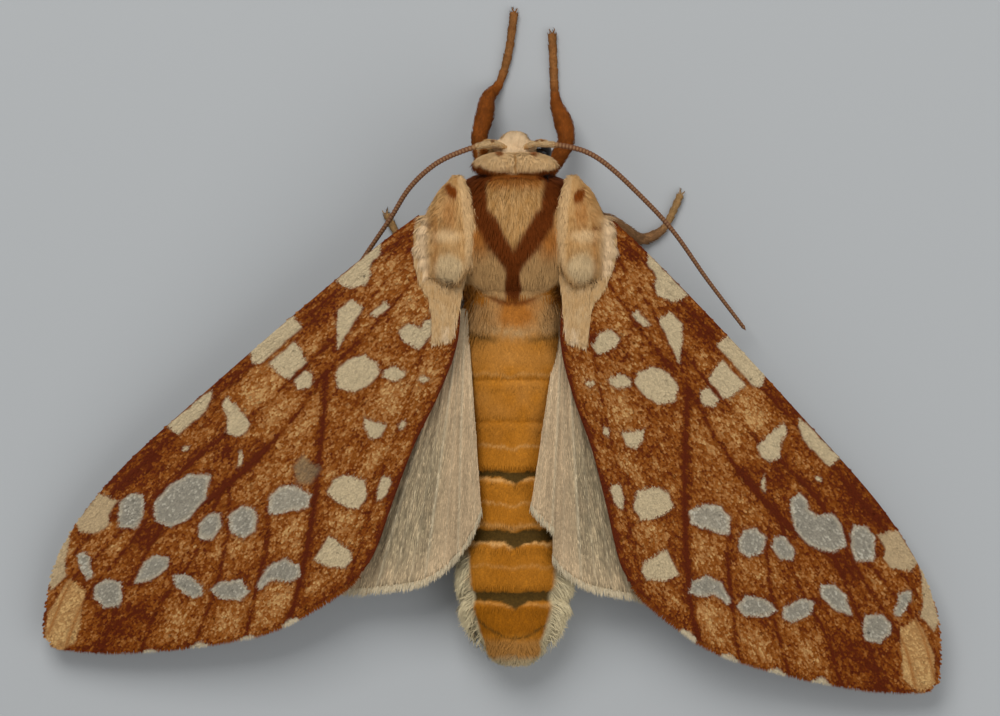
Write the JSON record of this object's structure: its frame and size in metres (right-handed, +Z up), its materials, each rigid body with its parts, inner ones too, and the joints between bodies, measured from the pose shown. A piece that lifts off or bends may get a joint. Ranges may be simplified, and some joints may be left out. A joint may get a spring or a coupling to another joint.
{
  "type": "moth",
  "caption": "Still, life-size display model of a spotted brown and cream tussock moth, standing on its own feet with its wings partly spread.",
  "frame": {"origin": "middle of the moth's box, on the floor under its feet", "axes": "+X to the moth's left, -Y the way its head points, +Z up"},
  "size_m": [0.0346, 0.0264, 0.0052],
  "materials": {
    "forewing_scales": "dark and mid brown scales with cream spots, matt with a slight silky sheen",
    "hindwing_scales": "thin, pale and half translucent, with fine folds and a fringe",
    "cream_fur": "soft cream fur with brown markings",
    "thorax_fur": "soft cream fur with a dark brown V",
    "abdomen_scales": "short ochre scales, dark gaps between segments, pale tufts at the sides",
    "leg_scales": "brown scales, furry on thigh and shin",
    "antenna": "reddish brown, finely ringed",
    "eye": "glossy black"
  },
  "bodies": {
    "root": {"abdomen_1": "abdomen_scales", "abdomen_2": "abdomen_scales", "abdomen_3": "abdomen_scales", "abdomen_4": "abdomen_scales", "abdomen_5": "abdomen_scales", "abdomen_6": "abdomen_scales", "abdomen_7": "abdomen_scales", "abdomen_8": "abdomen_scales", "antenna_left": "antenna", "antenna_right": "antenna", "collar_left": "cream_fur", "collar_right": "cream_fur", "eye_left": "eye", "eye_right": "eye", "foreleg_left": "leg_scales", "foreleg_right": "leg_scales", "forewing_left": "forewing_scales", "forewing_right": "forewing_scales", "head": "cream_fur", "hindleg_left": "leg_scales", "hindleg_right": "leg_scales", "hindwing_left": "hindwing_scales", "hindwing_right": "hindwing_scales", "midleg_left": "leg_scales", "midleg_right": "leg_scales", "palp_left": "cream_fur", "palp_right": "cream_fur", "tegula_left": "cream_fur", "tegula_right": "cream_fur", "thorax": "thorax_fur"}
  },
  "joints": []
}
